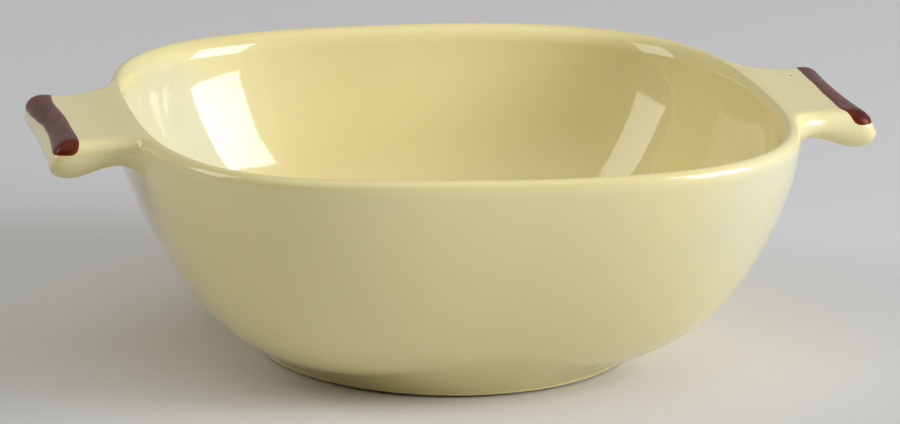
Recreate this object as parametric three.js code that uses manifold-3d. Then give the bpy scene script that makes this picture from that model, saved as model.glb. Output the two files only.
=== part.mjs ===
// Lugged cereal bowl: cast earthenware, square in plan with well-rounded corners, on a round foot ring.
// A flat lug stands out at either side, just below the lip. Butter-yellow glaze covers the ware down
// to the foot, and each lug's outer end has a brushed band of brown glaze.
// Millimetres, +Z up, +X along the lugs, with the origin at the middle of the foot's resting face.
import * as THREE from 'three';
import { mergeVertices } from 'three/addons/utils/BufferGeometryUtils.js';
import Module from 'manifold-3d';

const wasm = await Module();
wasm.setup();

// Bowl, measured over the glaze
const rimWidth = 139;
const bowlHeight = 52.4;
const wallThickness = 4.5;
const squareness = 3; // exponent of the plan: 2 is round and more is squarer
const floorWidth = 63.2; // level stretch of the floor
const floorPull = 19.9; // reach of the curve where the floor turns up
const wallPull = 21.2; // reach of the curve where the wall nears the lip
const lipLean = THREE.MathUtils.degToRad(9.7); // how far the wall leans out at the lip
const lipTurn = new THREE.Vector2(1.6, 2.2); // width and depth of the lip's turn outside its crest
const lipRoll = new THREE.Vector2(3.5, 5.6); // and of its slow roll inside the crest
const rollBlend = 20; // above this height the inner face bends a little to meet the roll

// Foot ring, bare clay
const footDiameter = 77;
const footWidth = 5;
const footEdge = 0.8; // bevel on the resting face
const undersideHeight = 2.8; // glazed underside above the table

// Lugs, measured over the glaze
const lugReach = 16.4; // beyond the rim
const lugWidth = 44;
const lugDrop = 0.8; // lug's top below the lip
const lugRootThickness = 5.6;
const lugEndThickness = 8;
const lugNose = 3.4; // depth of the round outer end
const noseShare = 0.61; // of the end's thickness above its furthest reach
const lugCorner = 2.2; // outer corners in plan
const lugTopEdge = 3;
const lugUnderEdge = 3.4;
const lugSideFillet = 6; // where the sides flare into the wall
const lugUnderFillet = 3; // where the underside meets the wall
const lugTopRise = 8; // length of the run from the lug's top up to the lip

// Glaze
const glazeThickness = 0.4;
const bareFootHeight = 0.2; // clay left bare outside the foot
const bareWellHeight = 0.6; // and inside it
const poolReach = 3.2; // glaze gathered in the corner between the foot and the wall
const leftBandWidth = 5.6;
const rightBandWidth = 6.2;
const bandDrop = 2.6; // band's lower edge below the lug's top
const bandCorner = 1.6;
const bandRelief = 0.15; // brown glaze stands proud of the yellow

// Gap between a piece and its neighbour
const slipGap = 0.3;

// Facets
const planSegments = 48;
const wallSteps = 9;
const lipSteps = 4;
const edgeSteps = 3;
const filletSteps = 4;
const lugSteps = 4;
const noseSteps = 4;
const noseTurn = THREE.MathUtils.degToRad(78); // the round outer end stops here, at a small flat
const weldDistance = 1e-4;

const coatDepth = glazeThickness + slipGap; // from the glaze's surface to the clay
const halfWall = wallThickness / 2;
const rimHalf = rimWidth / 2;
const lipCrest = rimHalf - lipTurn.x;
const footRadius = footDiameter / 2;
const floorMiddle = undersideHeight + halfWall;
const lugTop = bowlHeight - lugDrop;
const lugEnd = rimHalf + lugReach;
const clearance = bowlHeight; // how far a cutting solid runs past what it cuts

// How far round its elliptic curve the lip lies in line with the wall
function lipSlope(curve) {
  return Math.atan2(curve.y * Math.sin(lipLean), curve.x * Math.cos(lipLean));
}

// A point of the lip with its surface set in by inset: angle 0 faces out and a right angle is the crest
function lipPoint(curve, angle, inset) {
  const depth = curve.y - inset;
  return [lipCrest + (curve.x - inset) * Math.cos(angle), bowlHeight - inset - depth * (1 - Math.sin(angle))];
}

// Middle of the wall, from the edge of the level floor to the start of the lip
const [turnX, turnZ] = lipPoint(lipTurn, -lipSlope(lipTurn), 0);
const wallTop = new THREE.Vector2(turnX - halfWall * Math.cos(lipLean), turnZ + halfWall * Math.sin(lipLean));
const floorEdge = new THREE.Vector2(floorWidth / 2, floorMiddle);
const wallMiddle = new THREE.CubicBezierCurve(
  floorEdge,
  new THREE.Vector2(floorEdge.x + floorPull, floorEdge.y),
  new THREE.Vector2(wallTop.x - wallPull * Math.sin(lipLean), wallTop.y - wallPull * Math.cos(lipLean)),
  wallTop
);

// A closed solid of a geometry: corners welded, collapsed triangles dropped
function solidOf(geometry) {
  geometry.deleteAttribute('normal');
  geometry.deleteAttribute('uv');
  const welded = mergeVertices(geometry, weldDistance);
  const triangles = [];
  for (let i = 0; i < welded.index.count; i += 3) {
    const [a, b, c] = welded.index.array.slice(i, i + 3);
    if (a !== b && b !== c && c !== a) {
      triangles.push(a, b, c);
    }
  }
  const vertProperties = new Float32Array(welded.attributes.position.array);
  const triVerts = new Uint32Array(triangles);
  return new wasm.Manifold(new wasm.Mesh({ numProp: 3, vertProperties, triVerts }));
}

function geometryOf(solid) {
  const mesh = solid.getMesh();
  const geometry = new THREE.BufferGeometry();
  geometry.setAttribute('position', new THREE.BufferAttribute(mesh.vertProperties, 3));
  geometry.setIndex(new THREE.BufferAttribute(mesh.triVerts, 1));
  geometry.computeVertexNormals();
  return geometry;
}

// A profile of [radius, height] points turned about Z
function turned(profile) {
  const points = profile.map(([radius, height]) => new THREE.Vector2(radius, height));
  return new THREE.LatheGeometry(points, planSegments).rotateX(Math.PI / 2);
}

// A turned form pressed out to the rounded-square plan
function squared(geometry) {
  const position = geometry.attributes.position;
  const stretch = (part) => Math.sign(part) * Math.abs(part) ** (2 / squareness);
  for (let i = 0; i < position.count; i++) {
    const x = position.getX(i);
    const y = position.getY(i);
    const radius = Math.hypot(x, y);
    if (radius > 0) {
      position.setXY(i, radius * stretch(x / radius), radius * stretch(y / radius));
    }
  }
  return geometry;
}

// Points beside the middle of the wall: a positive distance lies outside
function wallSide(distance) {
  const points = [];
  for (let step = 0; step <= wallSteps; step++) {
    const middle = wallMiddle.getPoint(step / wallSteps);
    const along = wallMiddle.getTangent(step / wallSteps);
    points.push([middle.x + along.y * distance, middle.y - along.x * distance]);
  }
  return points;
}

// Where a face beside the middle of the wall lies: its value on one axis at a value on the other
function onFace(distance, from, to, value) {
  const side = wallSide(distance);
  const level = THREE.MathUtils.clamp(value, side[0][from], side.at(-1)[from]);
  const upper = Math.max(1, side.findIndex((point) => point[from] >= level));
  const [low, high] = [side[upper - 1], side[upper]];
  return THREE.MathUtils.mapLinear(level, low[from], high[from], low[to], high[to]);
}

// The bowl's wall, lip and floor with the surface set in by inset
function bowlShell(inset) {
  const half = halfWall - inset;
  const lip = [];
  for (let step = 0; step < lipSteps; step++) {
    const share = step / lipSteps;
    lip.push(lipPoint(lipTurn, THREE.MathUtils.lerp(-lipSlope(lipTurn), Math.PI / 2, share), inset));
  }
  for (let step = 0; step <= lipSteps; step++) {
    const share = step / lipSteps;
    lip.push(lipPoint(lipRoll, THREE.MathUtils.lerp(Math.PI / 2, Math.PI - lipSlope(lipRoll), share), inset));
  }
  const [rollX, rollZ] = lip.at(-1);
  const bend = rollX - onFace(-half, 1, 0, rollZ);
  const inside = wallSide(-half)
    .filter(([, height]) => height < rollZ - halfWall)
    .map(([reach, height]) => [reach + bend * THREE.MathUtils.smoothstep(height, rollBlend, rollZ), height])
    .reverse();
  const outside = wallSide(half).slice(0, -1);
  const profile = [[0, floorMiddle - half], ...outside, ...lip, ...inside, [0, floorMiddle + half]];
  return solidOf(squared(turned(profile)));
}

// Everything within a surface at this distance outside the middle of the wall
function bowlCore(distance) {
  const side = wallSide(distance);
  const top = bowlHeight + clearance;
  const rim = Math.max(wallTop.x + distance, lipCrest);
  const profile = [[0, floorMiddle - distance], ...side, [rim, wallTop.y], [rim, top], [0, top]];
  return solidOf(squared(turned(profile)));
}

// How far the wall's outer face lies from the middle of the bowl, at a height and a distance across
function wallFace(height, across) {
  const reach = onFace(halfWall, 1, 0, height);
  return (reach ** squareness - Math.abs(across) ** squareness) ** (1 / squareness);
}

// A point of a lug, out from the wall's face: the root follows the wall and the outer end is straight
function lugPoint(out, across, height) {
  const straight = THREE.MathUtils.smoothstep(out, 0, lugSideFillet);
  const face = THREE.MathUtils.lerp(wallFace(height, across), rimHalf, straight);
  return new THREE.Vector3(face + out, across, height);
}

// Growth of a hollow fillet of this radius towards the wall, with the surface set in by inset
function filletRise(out, radius, inset) {
  const reach = THREE.MathUtils.clamp(radius - out, 0, radius + inset);
  return radius + inset - Math.sqrt((radius + inset) ** 2 - reach ** 2);
}

// One section across a lug: a bar with round edges, as corners in order about +X
function lugSection(out, halfWidth, top, bottom, inset) {
  const half = (top - bottom) / 2;
  const topEdge = Math.min(lugTopEdge - inset, half);
  const underEdge = Math.min(lugUnderEdge - inset, half);
  const edges = [topEdge, topEdge, underEdge, underEdge];
  const points = [];
  edges.forEach((edge, corner) => {
    const side = corner === 0 || corner === 3 ? 1 : -1;
    const centreY = side * (halfWidth - edge);
    const centreZ = corner < 2 ? top - edge : bottom + edge;
    for (let step = 0; step <= edgeSteps; step++) {
      const angle = (Math.PI / 2) * (corner + step / edgeSteps);
      points.push(lugPoint(out, centreY + edge * Math.cos(angle), centreZ + edge * Math.sin(angle)));
    }
  });
  return points;
}

// Closed loft through sections of equal count, in order along +X
function loft(sections) {
  const count = sections[0].length;
  const points = sections.flat();
  const triangles = [];
  for (let ring = 0; ring + 1 < sections.length; ring++) {
    for (let i = 0; i < count; i++) {
      const next = (i + 1) % count;
      const [a, b] = [ring * count + i, ring * count + next];
      triangles.push(a, b, b + count, a, b + count, a + count);
    }
  }
  const last = (sections.length - 1) * count;
  for (let i = 1; i + 1 < count; i++) {
    triangles.push(0, i + 1, i, last, last + i, last + i + 1);
  }
  const geometry = new THREE.BufferGeometry().setFromPoints(points);
  geometry.setIndex(triangles);
  return geometry;
}

// The right-hand lug with its surface set in by inset, from inside the wall to its round outer end
function lugForm(inset) {
  const noseOut = lugReach - lugNose;
  const stations = [-wallThickness, -lipTurn.x];
  for (let step = 0; step < filletSteps; step++) {
    stations.push(lugSideFillet * (1 - Math.cos((Math.PI / 2) * (step / filletSteps))));
  }
  for (let step = 0; step <= lugSteps; step++) {
    stations.push(THREE.MathUtils.lerp(lugSideFillet, noseOut, step / lugSteps));
  }
  const sections = stations.map((out) => {
    const rise = lugDrop * (1 - THREE.MathUtils.smoothstep(out, -lipTurn.x, lugTopRise - lipTurn.x));
    const swell = THREE.MathUtils.smoothstep(out, 0, noseOut);
    const thickness = THREE.MathUtils.lerp(lugRootThickness, lugEndThickness, swell);
    const bottom = lugTop - thickness - filletRise(out, lugUnderFillet, inset) + inset;
    const halfWidth = lugWidth / 2 + filletRise(out, lugSideFillet, inset) - inset;
    return lugSection(out, halfWidth, lugTop + rise - inset, bottom, inset);
  });
  const above = noseShare * lugEndThickness;
  const below = lugEndThickness - above;
  for (let step = 1; step <= noseSteps; step++) {
    const turn = noseTurn * (step / noseSteps);
    const out = noseOut + (lugNose - inset) * Math.sin(turn);
    const top = lugTop - above + (above - inset) * Math.cos(turn);
    const bottom = lugTop - above - (below - inset) * Math.cos(turn);
    const halfWidth = lugWidth / 2 - inset - (lugCorner - inset) * (1 - Math.cos(turn));
    sections.push(lugSection(out, halfWidth, top, bottom, inset));
  }
  return loft(sections);
}

// Foot form with its sides set in by inset from the glazed surface, from below the table into the floor
function footForm(inset) {
  const outer = footRadius + coatDepth - inset;
  const inner = footRadius - footWidth - coatDepth + inset;
  const low = -clearance;
  const corners = [[inner, low], [outer, low], [outer, floorMiddle], [inner, floorMiddle], [inner, low]];
  return solidOf(turned(corners));
}

// The whole ware with its surface set in by inset
function ware(inset) {
  const wallCore = bowlCore(0);
  const rightLug = solidOf(lugForm(inset)).subtract(wallCore);
  const leftLug = solidOf(lugForm(inset).rotateZ(Math.PI)).subtract(wallCore);
  return bowlShell(inset).add(rightLug).add(leftLug).add(footForm(inset));
}

// Space that holds a band: past its straight inner edge and above its lower edge, right across the lug
function bandSpace(width, margin) {
  const inner = lugEnd - width - margin;
  const low = lugTop - bandDrop - margin;
  const corner = bandCorner + margin;
  const outline = new THREE.Shape();
  outline.moveTo(lugEnd + clearance, low);
  outline.lineTo(lugEnd + clearance, lugTop + clearance);
  outline.lineTo(inner, lugTop + clearance);
  outline.lineTo(inner, low + corner);
  outline.absarc(inner + corner, low + corner, corner, Math.PI, 1.5 * Math.PI);
  const across = lugWidth + 2 * clearance;
  const settings = { depth: across, bevelEnabled: false, curveSegments: edgeSteps };
  return new THREE.ExtrudeGeometry(outline, settings).rotateX(Math.PI / 2).translate(0, across / 2, 0);
}

// The brown band of the right-hand lug: a skin that fills the opening left in the yellow glaze
function bandSolid(width) {
  const skin = solidOf(lugForm(-bandRelief)).subtract(solidOf(lugForm(glazeThickness)));
  return skin.intersect(solidOf(bandSpace(width, 0)));
}

function lugSolid() {
  return solidOf(lugForm(coatDepth)).subtract(bowlCore(halfWall - coatDepth + slipGap));
}

function footRing() {
  const inner = footRadius - footWidth;
  const top = undersideHeight + coatDepth - slipGap;
  const rest = [[inner + footEdge, 0], [footRadius - footEdge, 0]];
  const sides = [[footRadius, footEdge], [footRadius, top], [inner, top], [inner, footEdge]];
  return turned([...rest, ...sides, rest[0]]);
}

// Glaze gathered in a hollow curve between the foot's side and the underside of the wall
function glazePool() {
  const side = footRadius + coatDepth;
  const reach = side + poolReach;
  const top = onFace(halfWall, 0, 1, reach);
  const curve = new THREE.QuadraticBezierCurve(
    new THREE.Vector2(side, top - 0.8 * poolReach),
    new THREE.Vector2(side, top - 0.1 * poolReach),
    new THREE.Vector2(reach, top)
  );
  const hollow = curve.getPoints(filletSteps).map((point) => [point.x, point.y]);
  const start = [footRadius, hollow[0][1]];
  return turned([start, ...hollow, [reach, floorMiddle], [footRadius, floorMiddle], start]);
}

// Yellow glaze over the wall, the lip, the lugs and the outside of the foot
function glazeCoat() {
  const footMiddle = footRadius - footWidth / 2;
  const bareFoot = turned([
    [0, -2 * clearance],
    [footRadius + clearance, -2 * clearance],
    [footRadius + clearance, bareFootHeight],
    [footMiddle, bareFootHeight],
    [footMiddle, floorMiddle],
    [0, floorMiddle],
  ]);
  return ware(0)
    .add(solidOf(glazePool()))
    .subtract(ware(glazeThickness))
    .subtract(solidOf(bareFoot))
    .subtract(solidOf(bandSpace(rightBandWidth, slipGap)))
    .subtract(solidOf(bandSpace(leftBandWidth, slipGap).rotateZ(Math.PI)));
}

// Glaze on the underside within the foot ring, with a skirt down the ring's inner face
function footWellGlaze() {
  const outer = footRadius - footWidth - slipGap;
  const inner = outer - glazeThickness;
  const top = undersideHeight + glazeThickness;
  const skirt = [[inner, bareWellHeight], [outer, bareWellHeight]];
  return turned([[0, undersideHeight], [inner, undersideHeight], ...skirt, [outer, top], [0, top]]);
}

function piece(name, geometry, material, turn = 0) {
  const mesh = new THREE.Mesh(geometry, new THREE.MeshStandardMaterial(material));
  mesh.name = name;
  mesh.rotation.z = turn;
  return mesh;
}

const clay = { color: 0xe8d9bd, roughness: 0.85, metalness: 0 };
const yellowGlaze = { color: 0xe3d698, roughness: 0.12, metalness: 0 };
const brownGlaze = { color: 0x4b2620, roughness: 0.15, metalness: 0 };

const bowl = new THREE.Group();
bowl.add(
  piece('bowl_body', geometryOf(bowlShell(coatDepth)), clay),
  piece('foot_ring', footRing(), clay),
  piece('left_lug', geometryOf(lugSolid()), clay, Math.PI),
  piece('right_lug', geometryOf(lugSolid()), clay),
  piece('glaze_coat', geometryOf(glazeCoat()), yellowGlaze),
  piece('foot_well_glaze', footWellGlaze(), yellowGlaze),
  piece('left_lug_band', geometryOf(bandSolid(leftBandWidth)), brownGlaze, Math.PI),
  piece('right_lug_band', geometryOf(bandSolid(rightBandWidth)), brownGlaze)
);

export default bowl;
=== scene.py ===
# Lugged cereal bowl in butter-yellow glaze with brown lug bands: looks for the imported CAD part
import math

import bmesh
import bpy
import numpy as np
from mathutils import Matrix, Vector


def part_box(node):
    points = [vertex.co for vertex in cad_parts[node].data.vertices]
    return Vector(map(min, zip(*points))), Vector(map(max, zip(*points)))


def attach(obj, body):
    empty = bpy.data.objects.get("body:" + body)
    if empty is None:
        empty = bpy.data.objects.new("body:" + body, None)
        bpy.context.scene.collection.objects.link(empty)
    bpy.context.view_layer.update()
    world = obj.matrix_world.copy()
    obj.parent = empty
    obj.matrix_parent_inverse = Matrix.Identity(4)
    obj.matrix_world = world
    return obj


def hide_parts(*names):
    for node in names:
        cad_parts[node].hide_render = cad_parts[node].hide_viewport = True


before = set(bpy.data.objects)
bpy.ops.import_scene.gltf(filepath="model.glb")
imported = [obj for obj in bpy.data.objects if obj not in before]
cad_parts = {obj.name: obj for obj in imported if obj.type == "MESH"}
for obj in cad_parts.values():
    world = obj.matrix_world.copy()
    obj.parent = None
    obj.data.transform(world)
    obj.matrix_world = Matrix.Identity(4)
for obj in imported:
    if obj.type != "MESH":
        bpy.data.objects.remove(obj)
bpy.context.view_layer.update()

mm = 0.001  # sizes below are in millimetres


def nodeBox(node):  # lowest and highest corner of a CAD node
    return [np.array(corner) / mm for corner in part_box(node)]


coatHigh = nodeBox("glaze_coat")[1]
ringHigh = nodeBox("foot_ring")[1]
wellLow, wellHigh = nodeBox("foot_well_glaze")

bowl = {
    "rimHalf": 69.5,  # half the width across the rim
    "height": coatHigh[2],
    "wall": 4.5,
    "squareness": 3.0,  # exponent of the plan, where 2 is round
    "floorHalf": 31.6,  # half the level stretch of the floor
    "floorPull": 19.9,  # reach of the curves where the floor turns up and where the wall nears the lip
    "wallPull": 21.2,
    "wallStart": 0.36,  # share of the wall's curve from which it has its own plan
    "lipLean": math.radians(9.7),  # how far the wall leans out at the lip
    "lipTurn": (1.6, 2.2),  # the lip's width and depth outside its crest, and inside, where it rolls slowly
    "lipRoll": (3.5, 5.6),
    "rollFrom": 20,  # above this height the inside eases towards that roll
    "thinSpan": (0.05, 0.85),  # sines of the directions over which its thinning by the lugs fades
    "underside": 2.8,  # height of the floor's underside
    "rimLevel": -0.15,  # the rim isn't quite level: its drop, and its rises by direction, spread and height
    "humps": [(-112, 29, 0.6), (84, 44, 0.4)],
    "humpsFrom": 8,  # below this height nothing follows the rim's rises
    "pinchFrom": 40,  # above this height the wall draws in towards the lugs
}
foot = {
    "radius": ringHigh[0] + 0.3,  # it meets its glaze, without the solids' gap
    "width": 5.3,
    "glaze": 0.5,  # glazed side stands this far out from the clay ring
    "glazeLine": 0.55,  # a thin dark line of bare clay shows under the glaze
    "glazeEdge": 0.5,  # the hollow curve starts this far above that line
    "glazeRound": 0.2,  # rounding of the glaze's lower edge, and how far its ends bend up and in
    "glazeBend": (0.05, 0.04),
    "fillet": 6.2,  # reach of the hollow curve into the wall, at the corners and on the flat sides
    "sideFillet": 10.5,
    "bend": 0.75,  # share of it that keeps near the wall's own slope
    "skirt": 0.45,  # place of the row between its end and the wall's own plan
    "flare": 1.9,  # it isn't quite round: its lower edge is this much wider in one direction
    "flareWay": math.radians(78),
    "edge": 0.8,  # rounding of the bare ring's lower edges
    "hidden": 0.55,  # the coat's closed back lies this far above the floor's underside
    "hiddenEdge": 4.0,  # its outermost level row is this far inside the ring's outer face
    "tuck": 0.1,  # its side lies this far inside that face, with turns of this size
    "tuckTurn": 0.3,
}
lug = {
    "width": 44.0,
    "rootDrop": 1.0,  # rough step down from the lip to its top, which sets how low the wall opens for it
    "rootThickness": 5.6,
    "endThickness": 8.0,
    "thickenFrom": 2.5,  # distance from the wall where it starts to thicken
    "nose": 4.0,  # depth of the round outer end
    "noseTop": 0.66,  # share of the end's thickness above its furthest reach
    "fullness": (1.85, 2.5),  # exponents of its curves above and below that, where 2 is round
    "corner": 2.5,  # how far its width draws in round the end
    "edge": 3.4,  # depth of the rounded front and back sides, and at the very end
    "endEdge": 1.5,
    "sideFillet": 6.0,  # where the sides and the underside flare into the wall
    "underFillet": 3.0,
    "topRise": 8.0,  # length of the run from its top up to the lip
    "bowSpan": 20.0,  # the end's bow is given at this distance from its middle
    "twistSpan": (-5.0, 22.0),  # its twist grows between these, from front to back
    "glazeDepth": (0.6, 0.4),  # how thick the glaze lies at the root and further out
    "rings": (0.4, 1.3, 2.7, 4.5, 7.0, 9.8),  # rows of points, by distance from the wall
    "noseRings": (24, 46, 66, 82),  # and by degrees round the outer end
}
# By lug: reach of its end, how that line bows and twists, its step down, how it pinches and thins the rim
lugs = {
    "left": {"side": -1, "end": 85.1, "bow": 0.6, "twist": 0.25, "drop": 1.15, "pinch": 1.2, "thinner": 2.4},
    "right": {"side": 1, "end": 85.55, "bow": 0.8, "twist": 0.0, "drop": 0.45, "pinch": 0.6, "thinner": 1.5},
}


# Meshes

def smoothstep(value, low, high):
    share = min(max((value - low) / (high - low), 0.0), 1.0)
    return share * share * (3 - 2 * share)


def mix(a, b, share):
    return a + (b - a) * share


def lugOn(x):  # the lug of that half of the bowl
    return lugs["right" if x > 0 else "left"]


def pinched(x, height):
    share = lugOn(x)["pinch"] / bowl["rimHalf"]
    return x * (1 - share * smoothstep(height, bowl["pinchFrom"], bowl["height"]))


def planHalf(x, y):  # half width of the rounded-square plan whose outline passes through a point
    power = bowl["squareness"]
    return (abs(x) ** power + abs(y) ** power) ** (1 / power)


def planOut(half, across):  # how far out that outline lies at a distance across
    power = bowl["squareness"]
    return (half ** power - abs(across) ** power) ** (1 / power)


def planPoint(half, angle, height):  # a point of the plan's outline in that direction
    cosine, sine = math.cos(angle), math.sin(angle)
    reach = half / planHalf(cosine, sine)
    return pinched(reach * cosine, height), reach * sine


halfWall = bowl["wall"] / 2
crestX = bowl["rimHalf"] - bowl["lipTurn"][0]
leanAcross, leanUp = math.cos(bowl["lipLean"]), math.sin(bowl["lipLean"])


def lipPoint(angle):  # outer turn up to the crest at a right angle, inner roll after it
    wide, tall = bowl["lipRoll"] if angle > math.pi / 2 else bowl["lipTurn"]
    return np.array([crestX + wide * math.cos(angle), bowl["height"] - tall + tall * math.sin(angle)])


def lipSlope(curve):  # how far round its curve the lip lies in line with the wall
    wide, tall = curve
    return math.atan2(leanUp * tall, leanAcross * wide)


turnStart, rollEnd = -lipSlope(bowl["lipTurn"]), math.pi - lipSlope(bowl["lipRoll"])
wallTop = lipPoint(turnStart) - halfWall * np.array([leanAcross, -leanUp])
floorEdge = np.array([bowl["floorHalf"], bowl["underside"] + halfWall])
wallCurve = [
    floorEdge,
    floorEdge + [bowl["floorPull"], 0],
    wallTop - bowl["wallPull"] * np.array([leanUp, leanAcross]),
    wallTop,
]


def wallPoint(t, distance):  # beside the middle of the wall, outside where distance is positive
    a, b, c, d = wallCurve
    point = (1 - t) ** 3 * a + 3 * (1 - t) ** 2 * t * b + 3 * (1 - t) * t * t * c + t ** 3 * d
    along = (1 - t) ** 2 * (b - a) + 2 * (1 - t) * t * (c - b) + t * t * (d - c)
    along = along / np.linalg.norm(along)
    return point + distance * np.array([along[1], -along[0]])


def wallWhere(coordinate, value, distance):  # where along the curve a face reaches a width or a height
    low, high = 0.0, 1.0
    for _ in range(40):  # halves the stretch each time
        middle = (low + high) / 2
        low, high = (middle, high) if wallPoint(middle, distance)[coordinate] < value else (low, middle)
    return low


def wallFace(height, across):  # the outer face's distance from the middle of the bowl
    half = wallPoint(wallWhere(1, height, halfWall), halfWall)[0]
    return planOut(half, across)


def undersideHeight(x, y):  # height of the outer face over a point of the plan
    return wallPoint(wallWhere(0, planHalf(x, y), halfWall), halfWall)[1]


def rimRise(x, y):  # how far the rim stands above level in that direction
    turn = math.degrees(math.atan2(y, x))
    rise = bowl["rimLevel"]
    for direction, spread, height in bowl["humps"]:
        rise += height * (1 - smoothstep(abs((turn - direction + 180) % 360 - 180), 0, spread))
    return rise


def filletRise(out, radius):
    reach = min(max(radius - out, 0.0), radius)
    return radius - math.sqrt(radius ** 2 - reach ** 2)


def addObject(name, data):
    made = bpy.data.objects.new(name, data)
    bpy.context.scene.collection.objects.link(made)
    return made


plainDepth = 0.5  # of the glaze on a plain wall, where 0 is bare and 1 is thick


def newPiece(name, points, faces, depths=None):  # depths: how thick the glaze lies at each point, with the yellow glaze's pale patches of painted light taken off
    mesh = bpy.data.meshes.new(name)
    mesh.from_pydata([tuple(np.array(point) * mm) for point in points], [], faces)
    layer = mesh.attributes.new("glazeDepth", "FLOAT", "POINT")
    layer.data.foreach_set("value", depths or [plainDepth] * len(points))
    mesh.polygons.foreach_set("use_smooth", [True] * len(mesh.polygons))
    mesh.update()
    shell = bmesh.new()
    shell.from_mesh(mesh)
    bmesh.ops.recalc_face_normals(shell, faces=shell.faces)
    shell.to_mesh(mesh)
    shell.free()
    return addObject(name, mesh)


def coordinates(mesh):
    flat = np.empty(len(mesh.vertices) * 3, np.float32)
    mesh.vertices.foreach_get("co", flat)
    return flat.reshape(-1, 3).astype(float)


def evaluated(piece):
    bpy.context.view_layer.update()
    return piece.evaluated_get(bpy.context.evaluated_depsgraph_get())


def applyModifiers(piece):
    finished = bpy.data.meshes.new_from_object(evaluated(piece))
    piece.modifiers.clear()
    piece.data = finished


def smoothThrough(piece, levels, rounds=4):
    # a subdivision surface that passes through the drawn points: the cage moves until its limit meets them
    drawn = coordinates(piece.data)
    smooth = piece.modifiers.new("smooth", "SUBSURF")
    smooth.levels = 1
    smooth.use_limit_surface = True
    cage = drawn.copy()
    for _ in range(rounds):
        reached = coordinates(evaluated(piece).data)[: len(drawn)]
        cage += drawn - reached
        piece.data.vertices.foreach_set("co", cage.astype(np.float32).ravel())
        piece.data.update()
    smooth.levels = smooth.render_levels = levels
    applyModifiers(piece)
    return piece


# Yellow glaze: rows run from under the floor, out over the foot, up the wall, over the lip and down inside
coatDepth = {  # how thick it lies
    "foot": 0.6,
    "hollow": 0.72,  # at the end of the hollow curve, where it gathers
    "root": 0.48,  # at the height of the lugs
    "crest": 0.2,  # this much more on the lip
    "inside": (0.62, 0.48),  # at the floor's edge and below the lip
}
windowHalf = lug["width"] / 2 + lug["sideFillet"]  # the opening in the wall for a lug
windowLow = bowl["height"] - lug["rootDrop"] - lug["rootThickness"] - lug["underFillet"]
wallSteps = 8  # from the foot up to the lugs' roots
rootRises = (2.7, 5.2)  # rows beside those, by height above the lower edge of the opening
outerTurns = [turnStart] + [math.radians(turn) for turn in (22, 56, 90)]  # round the lip
innerTurns = [mix(math.pi / 2, rollEnd, k / 5) for k in range(1, 6)]
filletShares = (0.0, 0.25, 0.5, 0.75, 1.0)  # along the foot's hollow curve
insideShares = (0.92, 0.82, 0.72, 0.62, 0.52, 0.42, 0.32, 0.21, 0.10, 0.0)  # of the wall's curve
floorRows = ((20, 0.62), (9, 0.6), (0, 0.6))  # half width, and how thick the glaze lies
rimCrossings = [0, 7.5, 14.5, 19.5, 23.3, windowHalf]  # columns of a lug, by where they cross the rim
cornerCrossings = [31, 37, 43.5, 49.5]  # and from there to the corner of the plan


def flareAt(angle):
    return foot["flare"] * math.cos(angle - foot["flareWay"]) ** 2


def roundRow(radius, height, share=0.0):  # share: how much of the foot's flare it follows
    def place(angle):
        reach = radius + share * flareAt(angle)
        return reach * math.cos(angle), reach * math.sin(angle), height
    return place


def squareRow(half, height):
    return lambda angle: (*planPoint(half, angle, height), height)


def insideRow(half, height):  # the inner roll of the lip is tighter beside the lugs
    rollX, rollZ = lipPoint(rollEnd)
    share = min((crestX - half) / (crestX - rollX), 1.0) * smoothstep(height, bowl["rollFrom"], rollZ)

    def place(angle):
        thinner = lugOn(math.cos(angle))["thinner"]
        beside = 1 - smoothstep(abs(math.sin(angle)), *bowl["thinSpan"])
        return (*planPoint(half + thinner * beside * share, angle, height), height)
    return place


def filletEnd(angle):  # how far out the foot's hollow curve meets the wall
    reach = mix(foot["fillet"], foot["sideFillet"], math.cos(2 * angle) ** 2)
    return foot["radius"] + foot["glaze"] + reach


def filletRow(share):  # a hollow curve from the foot's lower edge out to the underside of the wall
    side, low = foot["radius"] + foot["glaze"], foot["glazeLine"] + foot["glazeEdge"]
    step = 0.1  # over which the wall's slope is measured
    ends, bent = ((1 - share) ** 2, share ** 2), 2 * (1 - share) * share

    def place(angle):
        cosine, sine = math.cos(angle), math.sin(angle)
        near, far = side + flareAt(angle), filletEnd(angle)
        top = undersideHeight(far * cosine, far * sine)
        slope = (top - undersideHeight((far - step) * cosine, (far - step) * sine)) / step
        bend = foot["bend"] * (far - near)
        radius = ends[0] * near + bent * (far - bend) + ends[1] * far
        height = ends[0] * low + bent * (top - bend * slope) + ends[1] * top
        return radius * cosine, radius * sine, height
    return place


def skirtRow(share, half):  # on the underside, from round beside the foot to the wall's own plan
    def place(angle):
        near = filletEnd(angle)
        x, y = planPoint(half, angle, 0)
        x, y = mix(near * math.cos(angle), x, share), mix(near * math.sin(angle), y, share)
        return x, y, undersideHeight(x, y)
    return place


thinCore = 0.3  # share of a pale patch's reach that is palest
thinAndLitPatches = [  # pale patches, partly thin glaze and partly painted light where the light washes the glaze pale: spot, reach, how much thinner, on the inside or not
    ((-54, 42, 31), 33, 0.5, True),
    ((56, -54, 40), 34, 0.3, False),
]


# how much paler a point is drawn: partly thin glaze, partly painted light
def thinGlazeAndLight(point, inside):
    most = 0.0
    for spot, reach, amount, within in thinAndLitPatches:
        if inside == within:
            most = max(most, amount * (1 - smoothstep(math.dist(point, spot), thinCore * reach, reach)))
    return most


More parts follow.
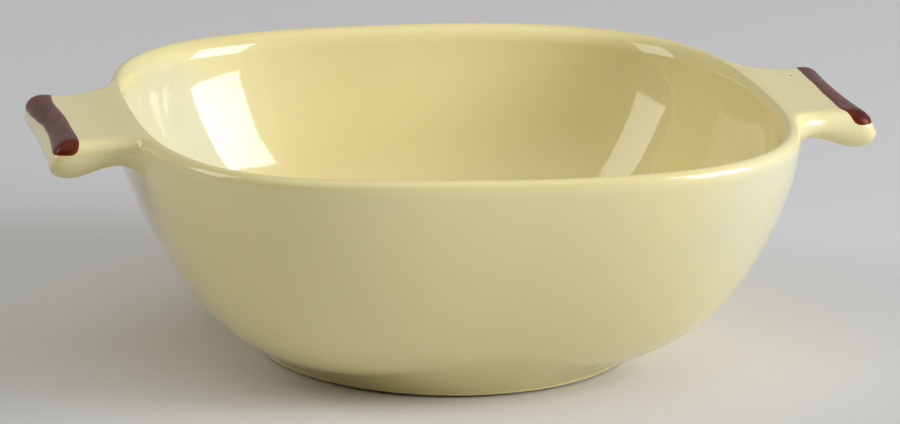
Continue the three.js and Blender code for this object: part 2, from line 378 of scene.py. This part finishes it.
def underPlaces():  # the coat's closed back, then the rounded lower edge of its glazed side
    ring, outer, line = foot["radius"], foot["radius"] + foot["glaze"], foot["glazeLine"]
    hidden, tuck, turn = bowl["underside"] + foot["hidden"], foot["tuck"], foot["tuckTurn"]
    rounding, (bendUp, bendIn) = foot["glazeRound"], foot["glazeBend"]
    places = [(0, hidden), (ring - foot["hiddenEdge"], hidden), (ring - turn, hidden)]
    places += [(ring - tuck, hidden - turn), (ring - tuck, line + turn)]
    places += [(ring, line + bendUp), (ring + rounding, line, 0.5)]
    return places + [(outer - rounding, line + bendIn, 1.0), (outer - bendIn, line + rounding, 1.0)]


def lipDepth(turn):  # how thick the glaze lies round the lip
    return plainDepth + coatDepth["crest"] * max(math.sin(turn), 0)


def coatRows():  # each row's places and how thick the glaze lies there
    atFoot = coatDepth["foot"]
    rows = [(roundRow(*place), atFoot) for place in underPlaces()]
    rows += [(filletRow(share), mix(atFoot, coatDepth["hollow"], share)) for share in filletShares]
    start, window = bowl["wallStart"], wallWhere(1, windowLow, halfWall)
    rows.append((skirtRow(foot["skirt"], wallPoint(start, halfWall)[0]), atFoot))
    for step in range(wallSteps + 1):
        place = wallPoint(mix(start, window, step / wallSteps), halfWall)
        rows.append((squareRow(*place), plainDepth))
    for rise in rootRises:
        place = wallPoint(wallWhere(1, windowLow + rise, halfWall), halfWall)
        rows.append((squareRow(*place), coatDepth["root"]))
    rows += [(squareRow(*lipPoint(turn)), lipDepth(turn)) for turn in outerTurns]
    rows += [(insideRow(*lipPoint(turn)), lipDepth(turn)) for turn in innerTurns]
    rollX, rollZ = lipPoint(rollEnd)
    insideTop = wallWhere(1, rollZ, -halfWall)
    easing = rollX - wallPoint(insideTop, -halfWall)[0]  # brings the wall under the end of the roll
    for share in insideShares:
        half, height = wallPoint(share * insideTop, -halfWall)
        half += easing * smoothstep(height, bowl["rollFrom"], rollZ)
        rows.append((insideRow(half, height), mix(*coatDepth["inside"], share)))
    floor = bowl["underside"] + bowl["wall"]
    return rows + [(squareRow(half, floor), depth) for half, depth in floorRows]


def coatAngles():
    crossings = rimCrossings + cornerCrossings
    quarter = [math.atan2(across, planOut(bowl["rimHalf"], across)) for across in crossings]
    quarter.append(math.pi / 4)
    quarter += [math.pi / 2 - angle for angle in reversed(quarter[:-1])][:-1]
    return [angle + turn * math.pi / 2 for turn in range(4) for angle in quarter]


def lugReach(end):  # from the wall's face to the lug's end
    return end["end"] - bowl["rimHalf"]


def endShift(end, y, z):  # how far the lug's end stands out from its middle
    level = bowl["height"] - end["drop"] - lug["noseTop"] * lug["endThickness"]
    bow = end["bow"] * (y / lug["bowSpan"]) ** 2
    return bow + end["twist"] * smoothstep(y, *lug["twistSpan"]) * (z - level)


def lugSection(out, end):  # half width, top, underside and edge of a lug at a distance from the wall
    flat = bowl["height"] - end["drop"]
    noseOut = lugReach(end) - lug["nose"]
    thickness = mix(lug["rootThickness"], lug["endThickness"], smoothstep(out, lug["thickenFrom"], noseOut))
    lip = bowl["lipTurn"][0]
    rise = end["drop"] * (1 - smoothstep(out, -lip, lug["topRise"] - lip))
    half = lug["width"] / 2 + filletRise(out, lug["sideFillet"])
    return half, flat + rise, flat - thickness - filletRise(out, lug["underFillet"]), lug["edge"]


def noseSection(turn, end):  # the same on the round end, from 0 where it starts to a right angle
    flat = bowl["height"] - end["drop"]
    above = lug["noseTop"] * lug["endThickness"]
    below = lug["endThickness"] - above
    far = math.sin(turn)
    thick = [(1 - far ** power) ** (1 / power) for power in lug["fullness"]]
    half = lug["width"] / 2 - lug["corner"] * (1 - math.cos(turn))
    edge = mix(lug["endEdge"], lug["edge"], math.cos(turn))
    return half, flat - above + above * thick[0], flat - above - below * thick[1], edge


def lugLoop(section, sideSteps):  # one ring of points: top, far side, underside, near side
    half, top, bottom, edge = section
    side = []
    for k in range(1, sideSteps):
        turn = math.pi * k / sideSteps
        height = (top + bottom) / 2 + (top - bottom) / 2 * math.cos(turn)
        side.append((half - edge + edge * math.sin(turn), height))
    shares = [-across / windowHalf for across in reversed(rimCrossings[1:])]
    shares += [across / windowHalf for across in rimCrossings]
    upper = [(share * (half - edge), top) for share in shares]
    lower = [(share * (half - edge), bottom) for share in reversed(shares)]
    return upper + side + lower + [(-y, z) for y, z in reversed(side)]


def lugPlace(out, y, z, end):  # the root follows the wall's face, and the outer end is straight
    straight = smoothstep(out, 0, lug["sideFillet"])
    root = wallFace(min(z, wallTop[1]), y) * end["side"]
    y *= end["side"]
    root = abs(pinched(root, z))
    x = mix(root, bowl["rimHalf"], straight) + out + endShift(end, y, z) * smoothstep(out, 0, lugReach(end))
    return end["side"] * x, y, z


def growLug(end, ring, tall, points, depths, faces):  # from its opening in the wall, ring by ring
    noseOut = lugReach(end) - lug["nose"]
    sections = [(out, lugSection(out, end)) for out in (*lug["rings"], noseOut)]
    for turn in map(math.radians, lug["noseRings"]):
        sections.append((noseOut + lug["nose"] * math.sin(turn), noseSection(turn, end)))
    for out, section in sections:
        after = []
        for y, z in lugLoop(section, tall):
            after.append(len(points))
            points.append(lugPlace(out, y, z, end))
            depths.append(mix(*lug["glazeDepth"], smoothstep(out, 0, lug["sideFillet"])))
        for k in range(len(ring)):
            n = (k + 1) % len(ring)
            faces.append([ring[k], ring[n], after[n], after[k]])
        ring = after
    closeLug(end, ring, tall, points, depths, faces)


def closeLug(end, ring, tall, points, depths, faces):  # its outer end, between the last ring's four sides
    wide = len(ring) // 2 - tall
    grid = {}
    for j in range(wide + 1):
        grid[0, j] = ring[j]
        grid[tall, j] = ring[2 * wide + tall - j]
    for i in range(1, tall):
        grid[i, wide] = ring[wide + i]
        grid[i, 0] = ring[-i]
    for i in range(1, tall):
        z = points[grid[i, wide]][2]
        for j in range(1, wide):
            y = mix(points[grid[0, j]][1], points[grid[tall, j]][1], i / tall)
            grid[i, j] = len(points)
            points.append((end["side"] * (end["end"] + endShift(end, y, z)), y, z))
            depths.append(lug["glazeDepth"][1])
    for i in range(tall):
        for j in range(wide):
            faces.append([grid[i, j], grid[i, j + 1], grid[i + 1, j + 1], grid[i + 1, j]])


def buildCoat():
    rows, angles = coatRows(), coatAngles()
    points, depths, index, faces = [], [], {}, []
    columns = len(angles)
    crest = max(range(len(rows)), key=lambda i: rows[i][0](0)[2])
    sill = crest - len(rootRises) - len(outerTurns)
    middle = len(rimCrossings) - 1  # columns from the middle of a lug to the side of its window
    windows = {name: [(start + k) % columns for k in range(-middle, middle + 1)]
               for name, start in (("right", 0), ("left", columns // 2))}
    hollow = {(i, j) for window in windows.values() for j in window[1:-1] for i in range(sill + 1, crest)}
    for i, (place, depth) in enumerate(rows):
        for j, angle in enumerate(angles):
            if j and place(0)[0] == 0:
                index[i, j] = index[i, 0]
            elif (i, j) not in hollow:
                index[i, j] = len(points)
                points.append(place(angle))
                # pale patches taken off the depth: partly thin glaze, partly painted light
                depths.append(depth - thinGlazeAndLight(points[-1], i > crest))
    gaps = {(i, j) for window in windows.values() for j in window[:-1] for i in range(sill, crest)}
    for i in range(len(rows) - 1):
        for j in range(columns):
            if (i, j) not in gaps:
                k = (j + 1) % columns
                corners = [index[i, j], index[i, k], index[i + 1, k], index[i + 1, j]]
                faces.append(list(dict.fromkeys(corners)))
    for name, window in windows.items():  # the window's edge in the same order as a lug's ring
        ring = [index[crest, j] for j in window]
        ring += [index[i, window[-1]] for i in range(crest - 1, sill, -1)]
        ring += [index[sill, j] for j in reversed(window)]
        ring += [index[i, window[0]] for i in range(sill + 1, crest)]
        growLug(lugs[name], ring, crest - sill, points, depths, faces)
    for k, (x, y, z) in enumerate(points):
        points[k] = x, y, z + rimRise(x, y) * smoothstep(z, bowl["humpsFrom"], bowl["height"])
    print("yellow glaze cage:", len(points), "points,", len(faces), "faces")
    return smoothThrough(newPiece("yellow_glaze", points, faces, depths), levels=2)


coat = buildCoat()
print("yellow glaze:", len(coat.data.polygons), "faces")


# Brown bands: the painted ends of the lugs, cut out of the glaze surface and raised a little from it
bandPaint = {
    "relief": 0.15,  # thickness of the brown glaze over the yellow
    "edgeRun": (-0.1, 0.9),  # depths inside its outline between which it reaches that
    "root": 0.3,  # how deep its closed back lies in the yellow
    "softCorner": 2.2,
    "margin": 3.0,  # of yellow kept round it for the cut
    "taperSpan": (17.5, 22.0),  # where a band draws in near the viewer's end
}
bands = {
    "left_brown_band": {
        "node": "left_lug_band",
        "inner": [(0.42, 0.145, 0.0), (0.2, 0.27, -2.11), (0.03, 2.3, 0.4)],  # waves: size, turns, start
        "lower": [(0.08, 0.30, 1.9), (0.04, 0.80, 0.3), (0.03, 2.6, 1.2)],
        "line": [(-20, 48.3), (-10, 49.0), (2, 48.9), (15, 48.2)],  # height of its lower edge, front to back
        "shift": -0.2,  # of its inner edge from the solid band's
        "taper": 0.0,
    },
    "right_brown_band": {
        "node": "right_lug_band",
        "inner": [(0.5, 0.085, -0.05), (0.06, 0.47, 0.2), (0.03, 2.1, 1.4)],
        "lower": [(0.08, 0.25, 0.2), (0.04, 0.75, 2.3), (0.03, 2.4, 0.7)],
        "line": [(-20, 49.1), (-8, 49.8), (18, 49.8)],
        "shift": -0.1,
        "taper": 1.6,  # the viewer's end draws in from the inner side
    },
}


def waves(parts, along):
    return sum(size * math.sin(turns * along + start) for size, turns, start in parts)


def softLeast(a, b, reach):  # the smaller of two distances, rounded where they meet
    share = max(reach - abs(a - b), 0) / reach
    return min(a, b) - share * share * reach / 4


def bandDepth(band, innerEdge, x, y, z):  # how far inside the painted outline a point lies
    taper = band["taper"] * smoothstep(-y, *bandPaint["taperSpan"])
    inner = innerEdge + band["shift"] + waves(band["inner"], y) + taper
    lower = np.interp(y, *zip(*band["line"])) + waves(band["lower"], y)
    return softLeast(x - inner, z - lower, bandPaint["softCorner"])


def cutBand(cut, band):  # keeps what lies inside the painted outline
    low, high = nodeBox(band["node"])
    side = 1 if low[0] > 0 else -1
    innerEdge = min(abs(low[0]), abs(high[0]))
    kept = innerEdge - bandPaint["margin"]
    far = [face for face in cut.faces if side * face.calc_center_median().x / mm < kept]
    bmesh.ops.delete(cut, geom=far, context="FACES")
    bmesh.ops.subdivide_edges(cut, edges=cut.edges[:], cuts=1, use_grid_fill=True)
    depth = cut.verts.layers.float.new("edgeDepth")
    for vert in cut.verts:
        x, y, z = vert.co / mm
        vert[depth] = bandDepth(band, innerEdge, side * x, y, z)
    for edge in cut.edges[:]:  # points where the outline crosses an edge
        a, b = edge.verts
        if a[depth] * b[depth] < 0:
            made = bmesh.utils.edge_split(edge, a, a[depth] / (a[depth] - b[depth]))[1]
            made[depth] = 0
    for face in cut.faces[:]:
        on = [vert for vert in face.verts if vert[depth] == 0]
        if len(on) == 2 and not any(set(edge.verts) == set(on) for edge in face.edges):
            bmesh.utils.face_split(face, *on)
    outside = [face for face in cut.faces if sum(vert[depth] for vert in face.verts) < 0]
    bmesh.ops.delete(cut, geom=outside, context="FACES")
    return depth


def buildBand(name, band):
    cut = bmesh.new()
    cut.from_mesh(coat.data)
    depth = cutBand(cut, band)
    cut.normal_update()
    for vert in cut.verts:
        rise = bandPaint["relief"] * smoothstep(vert[depth], *bandPaint["edgeRun"])
        vert.co += vert.normal * rise * mm
    mesh = bpy.data.meshes.new(name)
    cut.to_mesh(mesh)
    cut.free()
    piece = addObject(name, mesh)
    thick = piece.modifiers.new("thick", "SOLIDIFY")
    thick.thickness = bandPaint["root"] * mm
    thick.offset = -1
    applyModifiers(piece)
    print(name + ":", len(piece.data.polygons), "faces")
    return piece


bandPieces = {name: buildBand(name, band) for name, band in bands.items()}


# Foot: the bare clay ring that the bowl stands on, and the glaze in the well inside it
footTurns = 144  # sides of a turned piece
well = {
    "turn": 1.3,  # rounding between its side and its top
    "middle": 16.0,  # its top is raised very slightly at this radius and in the middle
    "rises": (0.02, 0.03),
}


def arc(centreX, centreZ, radius, start, end, steps=5):
    turns = [math.radians(mix(start, end, k / steps)) for k in range(steps + 1)]
    return [(centreX + radius * math.cos(turn), centreZ + radius * math.sin(turn)) for turn in turns]


def lathe(name, profile):  # a closed outline of (radius, height) turned round the middle
    points, faces, rings = [], [], []
    for radius, height in profile:
        if radius == 0:
            rings.append([len(points)] * footTurns)
            points.append((0, 0, height))
            continue
        rings.append([len(points) + k for k in range(footTurns)])
        for k in range(footTurns):
            turn = 2 * math.pi * k / footTurns
            points.append((radius * math.cos(turn), radius * math.sin(turn), height))
    closing = rings[1:] + ([] if profile[0][0] == 0 else rings[:1])
    for ring, after in zip(rings, closing):
        for k in range(footTurns):
            n = (k + 1) % footTurns
            faces.append(list(dict.fromkeys([ring[k], ring[n], after[n], after[k]])))
    print(name + ":", len(faces), "faces")
    return newPiece(name, points, faces)


def buildFoot():
    outer, inner, edge, top = foot["radius"], foot["radius"] - foot["width"], foot["edge"], ringHigh[2]
    profile = [(inner, top)] + arc(inner + edge, edge, edge, 180, 270)
    profile += arc(outer - edge, edge, edge, 270, 360) + [(outer, top)]
    return lathe("bare_foot", profile)


def buildWell():
    outer, low, top = wellHigh[0], wellLow[2], wellHigh[2]
    skin, turn, under = top - bowl["underside"], well["turn"], bowl["underside"]
    profile = [(0, top), (outer, top)] + arc(outer - skin / 2, low + skin / 2, skin / 2, 0, -180, 6)
    profile += arc(outer - skin - turn, under - turn, turn, 0, 90)
    profile += [(radius, under + rise) for radius, rise in zip((well["middle"], 0), well["rises"])]
    return lathe("foot_well_skin", profile)


footPiece = buildFoot()
wellPiece = buildWell()


# Finishes: noises are given as waves per metre, detail and roughness

class Wire:  # a shader socket that can stand in a Python expression
    def __init__(self, tree, socket=None):
        self.tree = tree
        self.socket = socket

    def node(self, kind, settings=None, sockets=None, output=0):
        made = self.tree.nodes.new(kind)
        for name, value in (settings or {}).items():
            setattr(made, name, value)
        for key, value in (sockets or {}).items():
            if isinstance(value, Wire):
                self.tree.links.new(value.socket, made.inputs[key])
            else:
                made.inputs[key].default_value = value
        return Wire(self.tree, made.outputs[output] if made.outputs else None)

    def maths(self, operation, a, b):
        return self.node("ShaderNodeMath", {"operation": operation}, {0: a, 1: b})

    def __add__(self, other):
        return self.maths("ADD", self, other)

    def __radd__(self, other):
        return self.maths("ADD", other, self)

    def __sub__(self, other):
        return self.maths("SUBTRACT", self, other)

    def __rsub__(self, other):
        return self.maths("SUBTRACT", other, self)

    def __mul__(self, other):
        return self.maths("MULTIPLY", self, other)

    def __rmul__(self, other):
        return self.maths("MULTIPLY", other, self)

    def step(self, low, high):  # a soft step from 0 at low to 1 at high
        sockets = {"Value": self, "From Min": low, "From Max": high}
        return self.node("ShaderNodeMapRange", {"interpolation_type": "SMOOTHSTEP"}, sockets)

    def tint(self, a, b):  # from colour a to colour b as this value goes from 0 to 1
        a, b = (colour if isinstance(colour, Wire) else (*colour, 1) for colour in (a, b))
        return self.node("ShaderNodeMix", {"data_type": "RGBA"}, {0: self, 6: a, 7: b}, 2)

    def noise(self, scale, detail=2.0, roughness=0.5):
        sockets = {"Vector": self, "Scale": scale, "Detail": detail, "Roughness": roughness}
        return self.node("ShaderNodeTexNoise", None, sockets)

    def vector(self, operation, other, output=0):
        return self.node("ShaderNodeVectorMath", {"operation": operation}, {0: self, 1: other}, output)

    def near(self, spot, radius, core=0.55):  # 1 in the core of a spot, 0 beyond its radius, in millimetres
        away = self.vector("DISTANCE", [c * mm for c in spot], 1)
        return 1 - away.step(radius * core * mm, radius * mm)


def newFinish(name):
    material = bpy.data.materials.new(name)
    material.use_nodes = True
    material.node_tree.nodes.clear()
    start = Wire(material.node_tree)
    return material, start, start.node("ShaderNodeTexCoord", output=3)


def coverWith(start, sockets):
    shader = start.node("ShaderNodeBsdfPrincipled", None, sockets)
    start.node("ShaderNodeOutputMaterial", None, {"Surface": shader})


def attribute(start, name):
    return start.node("ShaderNodeAttribute", {"attribute_name": name}, None, 2)


def bump(start, height, distance):
    return start.node("ShaderNodeBump", None, {"Height": height, "Distance": distance * mm})


yellowLook = {
    "body": (0.80, 0.685, 0.305),
    "thin": (0.70, 0.66, 0.42),
    "deep": (0.74, 0.60, 0.22),
    "thinSpan": (0.05, 0.5),  # thicknesses over which it turns from thin to body, and to deep
    "deepSpan": (0.5, 1.0),
    "clouds": (38, 3, 0.55),  # noises in the glaze's thickness, and how much they change it
    "cloudDepth": 0.35,
    "mottle": (420, 2, 0.6),
    "mottleDepth": 0.16,
    "speck": (0.22, 0.10, 0.04),
    "speckCells": 70.0,  # pinholes: cells per metre, size in a cell, which cells have one, how dark and deep
    "speckSize": (0.006, 0.016),
    "speckPick": (0.86, 0.9),
    "speckStrength": 0.55,
    "speckDepth": 0.5,
    "spatter": [((77.1, 12.3, 51.8), 0.5), ((74.9, 15.6, 51.8), 0.3)],  # drops of brown beside the right band
    "roughness": 0.06,
    "roughnessChange": 0.03,
    "roughnessNoise": (160, 3),
    "ripples": [(1.0, 55, 1), (0.35, 190, 2), (0.08, 650, 1)],  # the surface's waves: share, then the noise
    "rippleHeight": 0.1,  # in millimetres
    "ior": 1.52,
    "haze": 1.0,  # soft sheen round the sharp reflections, and where the glaze faces up
    "hazeAbove": 0.5,
    "upward": (-0.1, 0.5),  # heights of the normal over which that changes
    "hazeIor": 1.85,
    "hazeSpread": 0.62,
}


def yellowGlaze():
    look = yellowLook
    material, start, place = newFinish("butter_yellow_glaze")
    clouds = place.noise(*look["clouds"]) - 0.5
    mottle = place.noise(*look["mottle"]) - 0.5
    # the glaze depth also carries the pale patches, partly painted light
    thickness = attribute(start, "glazeDepth") + look["cloudDepth"] * clouds + look["mottleDepth"] * mottle
    colour = thickness.step(*look["thinSpan"]).tint(look["thin"], look["body"])
    colour = thickness.step(*look["deepSpan"]).tint(colour, look["deep"])
    cells = {"Vector": place, "Scale": look["speckCells"]}
    speckAway = start.node("ShaderNodeTexVoronoi", None, cells)
    speckKind = start.node("ShaderNodeTexVoronoi", None, cells, 1)
    pick = start.node("ShaderNodeSeparateColor", None, {"Color": speckKind})
    specks = (1 - speckAway.step(*look["speckSize"])) * pick.step(*look["speckPick"])
    colour = (look["speckStrength"] * specks).tint(colour, look["speck"])
    for spot, radius in look["spatter"]:
        colour = place.near(spot, radius).tint(colour, look["speck"])
    roughness = look["roughness"] + look["roughnessChange"] * (place.noise(*look["roughnessNoise"]) - 0.5)
    ripples = sum(share * place.noise(*noise) for share, *noise in look["ripples"])
    normal = bump(start, ripples - look["speckDepth"] * specks, look["rippleHeight"])
    facing = start.node("ShaderNodeNewGeometry", output=1)
    upward = start.node("ShaderNodeSeparateXYZ", None, {0: facing}, 2).step(*look["upward"])
    haze = look["haze"] + (look["hazeAbove"] - look["haze"]) * upward
    gloss = {"IOR": look["ior"], "Coat Weight": haze, "Coat Roughness": look["hazeSpread"]}
    gloss["Coat IOR"] = look["hazeIor"]
    coverWith(start, {"Base Color": colour, "Roughness": roughness, "Normal": normal, **gloss})
    return material


brownLook = {
    "thick": (0.062, 0.0085, 0.0035),
    "thin": (0.120, 0.015, 0.0055),
    "edge": (0.19, 0.042, 0.013),
    "brush": (1, 0.12, 1),  # the strokes run along the band
    "strokes": (900, 3, 0.6),
    "clouds": (160, 3, 0.6),
    "strokeShare": 0.55,  # of the cover, beside the clouds, and where that turns from thin to thick
    "coverSpan": (0.38, 0.62),
    "edgeChange": 0.3,  # how uneven the thin edge is, and its width in millimetres
    "edgeWidth": 0.5,
    "roughness": 0.28,
    "roughnessChange": 0.12,
    "relief": 0.03,  # in millimetres
    "cloudRelief": 0.6,
    "ior": 1.62,
    "tint": (0.5, 0.2, 0.14),  # of what it mirrors when seen straight on
}


def brownGlaze():
    look = brownLook
    material, start, place = newFinish("brown_brushed_glaze")
    strokes = place.vector("MULTIPLY", look["brush"]).noise(*look["strokes"])
    clouds = place.noise(*look["clouds"])
    cover = look["strokeShare"] * strokes + (1 - look["strokeShare"]) * clouds
    colour = cover.step(*look["coverSpan"]).tint(look["thin"], look["thick"])
    inside = attribute(start, "edgeDepth") + look["edgeChange"] * (clouds - 0.5)
    colour = inside.step(0.0, look["edgeWidth"]).tint(look["edge"], colour)
    roughness = look["roughness"] + look["roughnessChange"] * (strokes - 0.5)
    normal = bump(start, strokes + look["cloudRelief"] * clouds, look["relief"])
    gloss = {"IOR": look["ior"], "Specular Tint": (*look["tint"], 1)}
    coverWith(start, {"Base Color": colour, "Roughness": roughness, "Normal": normal, **gloss})
    return material


clayLook = {
    "light": (0.74, 0.62, 0.45),
    "dark": (0.60, 0.46, 0.30),
    "body": (260, 4, 0.6),  # noise between the two, and where it turns
    "bodySpan": (0.35, 0.7),
    "grit": (0.28, 0.17, 0.09),
    "gritCells": 1500.0,  # per metre
    "gritSize": (0.08, 0.2),
    "gritStrength": 0.5,
    "rubbed": (0.42, 0.35, 0.27),  # where the foot has stood
    "rubbing": (90, 4, 0.65),
    "rubbedWhere": (0.5, 0.75),
    "rubbedStrength": 0.45,
    "roughness": 0.82,
    "rubbedSmoother": 0.2,
    "grain": (2200, 3, 0.6),
    "bodyRelief": 0.5,
    "relief": 0.08,  # in millimetres
}


def bareClay():
    look = clayLook
    material, start, place = newFinish("bare_buff_clay")
    body = place.noise(*look["body"])
    colour = body.step(*look["bodySpan"]).tint(look["light"], look["dark"])
    grit = start.node("ShaderNodeTexVoronoi", None, {"Vector": place, "Scale": look["gritCells"]})
    colour = (look["gritStrength"] * (1 - grit.step(*look["gritSize"]))).tint(colour, look["grit"])
    rubbed = place.noise(*look["rubbing"]).step(*look["rubbedWhere"])
    colour = (look["rubbedStrength"] * rubbed).tint(colour, look["rubbed"])
    roughness = look["roughness"] - look["rubbedSmoother"] * rubbed
    normal = bump(start, place.noise(*look["grain"]) + look["bodyRelief"] * body, look["relief"])
    coverWith(start, {"Base Color": colour, "Roughness": roughness, "Normal": normal})
    return material


finishes = {"yellow_glaze": yellowGlaze(), "brown_glaze": brownGlaze(), "clay": bareClay()}
pieceRows = [  # the glazed surface is closed, so it stands for the clay inside it too
    (coat, ("glaze_coat", "bowl_body", "left_lug", "right_lug"), "yellow_glaze"),
    (wellPiece, ("foot_well_glaze",), "yellow_glaze"),
    (footPiece, ("foot_ring",), "clay"),
]
pieceRows += [(piece, (bands[name]["node"],), "brown_glaze") for name, piece in bandPieces.items()]
for piece, nodes, slot in pieceRows:
    piece.data.materials.clear()
    piece.data.materials.append(finishes[slot])
    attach(piece, "root")
    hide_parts(*nodes)
print("finishes:", ", ".join(finishes))


# Studio
view = {
    "turn": math.radians(12.29),  # bowl turned this far against the view
    "tilt": math.radians(14.959),
    "roll": math.radians(1.048),
    "distance": 1024.683,  # in millimetres
    "focal": 4882.09,  # in pixels
    "frame": (900, 424),
    "origin": (446.597, 340.729),  # pixel of the middle of the foot
    "sensor": 36,  # width in millimetres
}
levelRight = Vector((math.cos(view["turn"]), -math.sin(view["turn"]), 0))
levelAhead = Vector((math.sin(view["turn"]), math.cos(view["turn"]), 0))
upright = Vector((0, 0, 1))


def placeCamera():
    camera = addObject("camera", bpy.data.cameras.new("camera"))
    tilt, roll = view["tilt"], view["roll"]
    ahead = levelAhead * math.cos(tilt) - upright * math.sin(tilt)
    up = levelRight.cross(ahead)
    scale = view["distance"] / view["focal"]
    wide, tall = view["frame"]
    sideways = (view["origin"][0] - wide / 2) * scale
    upward = (tall / 2 - view["origin"][1]) * scale
    place = -(sideways * levelRight + upward * up + view["distance"] * ahead) * mm
    rolledRight = math.cos(roll) * levelRight + math.sin(roll) * up
    rolledUp = math.cos(roll) * up - math.sin(roll) * levelRight
    turned = Matrix((rolledRight, rolledUp, -ahead)).transposed().to_4x4()
    camera.matrix_world = Matrix.Translation(place) @ turned
    camera.data.sensor_width = view["sensor"]
    camera.data.lens = view["focal"] / wide * view["sensor"]
    bpy.context.scene.camera = camera


placeCamera()

softboxes = {  # azimuth from the camera's side, positive to its right; distances in metres
    "right_softbox": {"azimuth": 76.6, "turn": -25, "distance": 0.738, "width": 0.485,
                      "low": 0.17, "high": 0.65, "radiance": (8.7, 9.1, 10.1)},
    "left_softbox": {"azimuth": -91, "turn": 25, "distance": 0.97, "width": 0.48,
                     "low": 0.30, "high": 0.96, "radiance": (3.45, 3.45, 3.45)},
}


def softboxWay(box):
    azimuth = math.radians(box["azimuth"])
    return math.sin(azimuth) * levelRight - math.cos(azimuth) * levelAhead


def placeSoftbox(name, box):
    tall = box["high"] - box["low"]
    lamp = bpy.data.lights.new(name, "AREA")
    lamp.shape = "RECTANGLE"
    lamp.size, lamp.size_y = box["width"], tall
    brightest = max(box["radiance"])
    lamp.color = Vector(box["radiance"]) / brightest
    lamp.energy = brightest * math.pi * box["width"] * tall
    towards = softboxWay(box)
    facing = Matrix.Rotation(math.radians(box["turn"]), 3, "Z") @ towards
    turned = Matrix((upright.cross(facing), upright, facing)).transposed().to_4x4()
    middle = towards * box["distance"] + upright * (box["low"] + box["high"]) / 2
    addObject(name, lamp).matrix_world = Matrix.Translation(middle) @ turned


for name, box in softboxes.items():
    placeSoftbox(name, box)

paper = {  # the floor, with its distances in metres
    "half": 4.0,
    "near": (0.77, 0.754, 0.718),  # painted light: a little lighter round the bowl, filling the bowl's shadow on the floor, and darker further off, where the light falls off
    "far": (0.57, 0.561, 0.547),
    "change": (0.045, 0.118),  # distances from the bowl's middle over which that changes
    "uneven": 0.01,
    "unevenNoise": (700, 3),
    "apron": (0.90, 0.885, 0.855),  # a white sheet in front of the picture
    "apronEdge": (-0.16, -0.07),
    "paintedShade": (0.30, 0.296, 0.29),  # painted shade: darker near the bright softbox, against the pool of light it throws on the floor
    "paintedShadeReach": 0.62,
    "roughness": 0.75,
}


def buildFloor():
    half = paper["half"]
    mesh = bpy.data.meshes.new("floor")
    corners = [(-half, -half, 0), (half, -half, 0), (half, half, 0), (-half, half, 0)]
    mesh.from_pydata(corners, [], [(0, 1, 2, 3)])
    floor = addObject("floor", mesh)
    material, start, place = newFinish("pale_floor")
    # painted light and shade on the floor: lighter round the bowl, darker further off
    away = place.vector("LENGTH", (0, 0, 0), 1) + paper["uneven"] * place.noise(*paper["unevenNoise"])
    colour = away.step(*paper["change"]).tint(paper["near"], paper["far"])
    ahead = place.vector("DOT_PRODUCT", levelAhead, 1)
    colour = ahead.step(*paper["apronEdge"]).tint(paper["apron"], colour)
    # painted shade: the paper is darkened round the spot under the bright softbox
    softbox = softboxes["right_softbox"]
    paintedShade = place.near(softboxWay(softbox) * softbox["distance"] / mm, paper["paintedShadeReach"] / mm)
    colour = paintedShade.tint(colour, paper["paintedShade"])
    coverWith(start, {"Base Color": colour, "Roughness": paper["roughness"]})
    mesh.materials.append(material)


buildFloor()

roomLight = {  # the way to it, to the camera's right, ahead and up; where it starts and is full; its strength
    "back": ((0, 1, 0), (-0.7, 0.7), 0.46),
    "glow": ((0.94, -0.34, 0), (0.42, 1.0), 0.66),
    "overhead": ((-0.08, -0.26, 0.962), (0.72, 0.97), 1.4),
}


def lightRoom():
    world = bpy.data.worlds.new("studio")
    bpy.context.scene.world = world
    world.use_nodes = True
    world.node_tree.nodes.clear()
    start = Wire(world.node_tree)
    direction = start.node("ShaderNodeTexCoord")
    parts = []
    for (right, ahead, up), spread, strength in roomLight.values():
        way = right * levelRight + ahead * levelAhead + up * upright
        parts.append(strength * direction.vector("DOT_PRODUCT", way, 1).step(*spread))
    background = start.node("ShaderNodeBackground", None, {"Strength": sum(parts)})
    start.node("ShaderNodeOutputWorld", None, {"Surface": background})


lightRoom()
print("studio: floor,", len(softboxes), "softboxes and", len(roomLight), "parts of room light")

bpy.context.scene.view_settings.view_transform = "Standard"
